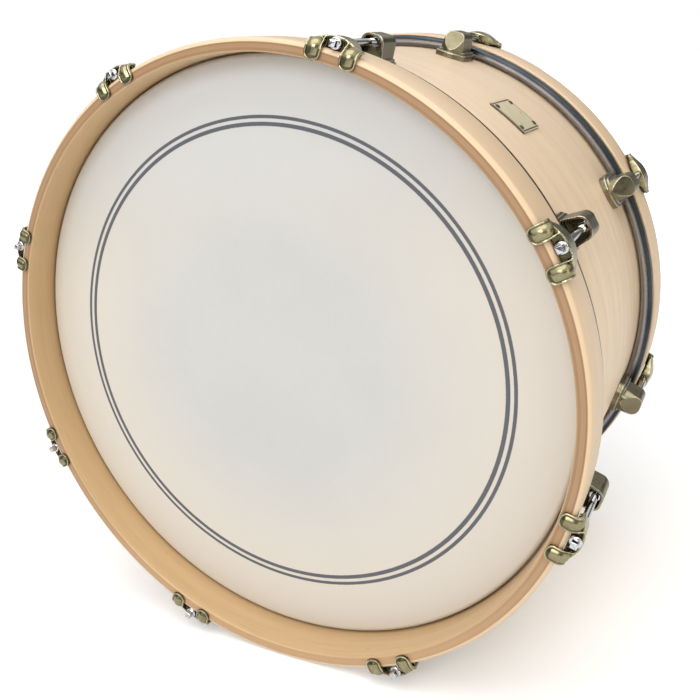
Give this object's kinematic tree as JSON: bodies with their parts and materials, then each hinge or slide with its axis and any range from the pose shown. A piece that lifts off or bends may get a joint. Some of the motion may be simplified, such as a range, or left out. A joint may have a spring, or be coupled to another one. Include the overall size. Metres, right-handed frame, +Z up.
{
  "type": "marching bass drum",
  "caption": "Double-headed bass drum: maple shell, wood hoops, coated heads with a printed ring, claw hooks, tension rods and cast lugs all round, badge and vent.",
  "frame": {"origin": "on the floor, at the centre of the drum's footprint, under the middle of the shell; the drum stands on the rims of its hoops", "axes": "+Z up, +Y along the drum's axis from the front head to the rear head, +X to the right seen from the front"},
  "size_m": [0.5868, 0.3884, 0.5867],
  "materials": {
    "maple": "clear satin lacquer over pale maple",
    "hoop_wood": "clear lacquer, ply lines on the front face",
    "film": "coated white film",
    "aluminium": "rolled, satin",
    "brass": "antique, darkened in the hollows",
    "chrome": "bright plated steel"
  },
  "bodies": {
    "shell": {"shell": "maple", "badge": "brass", "vent_grommet": "brass", "front_lug_1": "brass", "front_lug_2": "brass", "front_lug_3": "brass", "front_lug_4": "brass", "front_lug_5": "brass", "front_lug_6": "brass", "front_lug_7": "brass", "front_lug_8": "brass", "rear_lug_1": "brass", "rear_lug_2": "brass", "rear_lug_3": "brass", "rear_lug_4": "brass", "rear_lug_5": "brass", "rear_lug_6": "brass", "rear_lug_7": "brass", "rear_lug_8": "brass"},
    "front_rim": {"front_hoop": "hoop_wood", "front_head": "film", "front_flesh_hoop": "aluminium", "front_claw_1": "brass", "front_claw_2": "brass", "front_claw_3": "brass", "front_claw_4": "brass", "front_claw_5": "brass", "front_claw_6": "brass", "front_claw_7": "brass", "front_claw_8": "brass"},
    "front_rod_1": {"front_rod_1": "chrome"},
    "front_rod_2": {"front_rod_2": "chrome"},
    "front_rod_3": {"front_rod_3": "chrome"},
    "front_rod_4": {"front_rod_4": "chrome"},
    "front_rod_5": {"front_rod_5": "chrome"},
    "front_rod_6": {"front_rod_6": "chrome"},
    "front_rod_7": {"front_rod_7": "chrome"},
    "front_rod_8": {"front_rod_8": "chrome"},
    "rear_rim": {"rear_hoop": "hoop_wood", "rear_head": "film", "rear_flesh_hoop": "aluminium", "rear_claw_1": "brass", "rear_claw_2": "brass", "rear_claw_3": "brass", "rear_claw_4": "brass", "rear_claw_5": "brass", "rear_claw_6": "brass", "rear_claw_7": "brass", "rear_claw_8": "brass"},
    "rear_rod_1": {"rear_rod_1": "chrome"},
    "rear_rod_2": {"rear_rod_2": "chrome"},
    "rear_rod_3": {"rear_rod_3": "chrome"},
    "rear_rod_4": {"rear_rod_4": "chrome"},
    "rear_rod_5": {"rear_rod_5": "chrome"},
    "rear_rod_6": {"rear_rod_6": "chrome"},
    "rear_rod_7": {"rear_rod_7": "chrome"},
    "rear_rod_8": {"rear_rod_8": "chrome"}
  },
  "joints": [
    {"name": "front_rim_slide", "type": "slide", "parent": "shell", "child": "front_rim", "axis": [0, -1, 0], "range_m": [0, 0.012]},
    {"name": "front_rod_1_turn", "type": "hinge", "parent": "front_rim", "child": "front_rod_1", "pos_m": [0.11437, -0.1892, 0.56949], "axis": [0, -1, 0], "range_deg": [0, 4090]},
    {"name": "front_rod_2_turn", "type": "hinge", "parent": "front_rim", "child": "front_rod_2", "pos_m": [0.27612, -0.1892, 0.40774], "axis": [0, -1, 0], "range_deg": [0, 4090]},
    {"name": "front_rod_3_turn", "type": "hinge", "parent": "front_rim", "child": "front_rod_3", "pos_m": [0.27612, -0.1892, 0.179], "axis": [0, -1, 0], "range_deg": [0, 4090]},
    {"name": "front_rod_4_turn", "type": "hinge", "parent": "front_rim", "child": "front_rod_4", "pos_m": [0.11437, -0.1892, 0.01725], "axis": [0, -1, 0], "range_deg": [0, 4090]},
    {"name": "front_rod_5_turn", "type": "hinge", "parent": "front_rim", "child": "front_rod_5", "pos_m": [-0.11437, -0.1892, 0.01725], "axis": [0, -1, 0], "range_deg": [0, 4090]},
    {"name": "front_rod_6_turn", "type": "hinge", "parent": "front_rim", "child": "front_rod_6", "pos_m": [-0.27612, -0.1892, 0.179], "axis": [0, -1, 0], "range_deg": [0, 4090]},
    {"name": "front_rod_7_turn", "type": "hinge", "parent": "front_rim", "child": "front_rod_7", "pos_m": [-0.27612, -0.1892, 0.40774], "axis": [0, -1, 0], "range_deg": [0, 4090]},
    {"name": "front_rod_8_turn", "type": "hinge", "parent": "front_rim", "child": "front_rod_8", "pos_m": [-0.11437, -0.1892, 0.56949], "axis": [0, -1, 0], "range_deg": [0, 4090]},
    {"name": "rear_rim_slide", "type": "slide", "parent": "shell", "child": "rear_rim", "axis": [0, 1, 0], "range_m": [0, 0.012]},
    {"name": "rear_rod_1_turn", "type": "hinge", "parent": "rear_rim", "child": "rear_rod_1", "pos_m": [0.11437, 0.1892, 0.56949], "axis": [0, 1, 0], "range_deg": [0, 4090]},
    {"name": "rear_rod_2_turn", "type": "hinge", "parent": "rear_rim", "child": "rear_rod_2", "pos_m": [0.27612, 0.1892, 0.40774], "axis": [0, 1, 0], "range_deg": [0, 4090]},
    {"name": "rear_rod_3_turn", "type": "hinge", "parent": "rear_rim", "child": "rear_rod_3", "pos_m": [0.27612, 0.1892, 0.179], "axis": [0, 1, 0], "range_deg": [0, 4090]},
    {"name": "rear_rod_4_turn", "type": "hinge", "parent": "rear_rim", "child": "rear_rod_4", "pos_m": [0.11437, 0.1892, 0.01725], "axis": [0, 1, 0], "range_deg": [0, 4090]},
    {"name": "rear_rod_5_turn", "type": "hinge", "parent": "rear_rim", "child": "rear_rod_5", "pos_m": [-0.11437, 0.1892, 0.01725], "axis": [0, 1, 0], "range_deg": [0, 4090]},
    {"name": "rear_rod_6_turn", "type": "hinge", "parent": "rear_rim", "child": "rear_rod_6", "pos_m": [-0.27612, 0.1892, 0.179], "axis": [0, 1, 0], "range_deg": [0, 4090]},
    {"name": "rear_rod_7_turn", "type": "hinge", "parent": "rear_rim", "child": "rear_rod_7", "pos_m": [-0.27612, 0.1892, 0.40774], "axis": [0, 1, 0], "range_deg": [0, 4090]},
    {"name": "rear_rod_8_turn", "type": "hinge", "parent": "rear_rim", "child": "rear_rod_8", "pos_m": [-0.11437, 0.1892, 0.56949], "axis": [0, 1, 0], "range_deg": [0, 4090]}
  ],
  "couplings": [
    {"joint": "front_rod_1_turn", "follows": "front_rim_slide", "rad_per_m": 5938.7},
    {"joint": "front_rod_2_turn", "follows": "front_rim_slide", "rad_per_m": 5938.7},
    {"joint": "front_rod_3_turn", "follows": "front_rim_slide", "rad_per_m": 5938.7},
    {"joint": "front_rod_4_turn", "follows": "front_rim_slide", "rad_per_m": 5938.7},
    {"joint": "front_rod_5_turn", "follows": "front_rim_slide", "rad_per_m": 5938.7},
    {"joint": "front_rod_6_turn", "follows": "front_rim_slide", "rad_per_m": 5938.7},
    {"joint": "front_rod_7_turn", "follows": "front_rim_slide", "rad_per_m": 5938.7},
    {"joint": "front_rod_8_turn", "follows": "front_rim_slide", "rad_per_m": 5938.7},
    {"joint": "rear_rod_1_turn", "follows": "rear_rim_slide", "rad_per_m": 5938.7},
    {"joint": "rear_rod_2_turn", "follows": "rear_rim_slide", "rad_per_m": 5938.7},
    {"joint": "rear_rod_3_turn", "follows": "rear_rim_slide", "rad_per_m": 5938.7},
    {"joint": "rear_rod_4_turn", "follows": "rear_rim_slide", "rad_per_m": 5938.7},
    {"joint": "rear_rod_5_turn", "follows": "rear_rim_slide", "rad_per_m": 5938.7},
    {"joint": "rear_rod_6_turn", "follows": "rear_rim_slide", "rad_per_m": 5938.7},
    {"joint": "rear_rod_7_turn", "follows": "rear_rim_slide", "rad_per_m": 5938.7},
    {"joint": "rear_rod_8_turn", "follows": "rear_rim_slide", "rad_per_m": 5938.7}
  ]
}
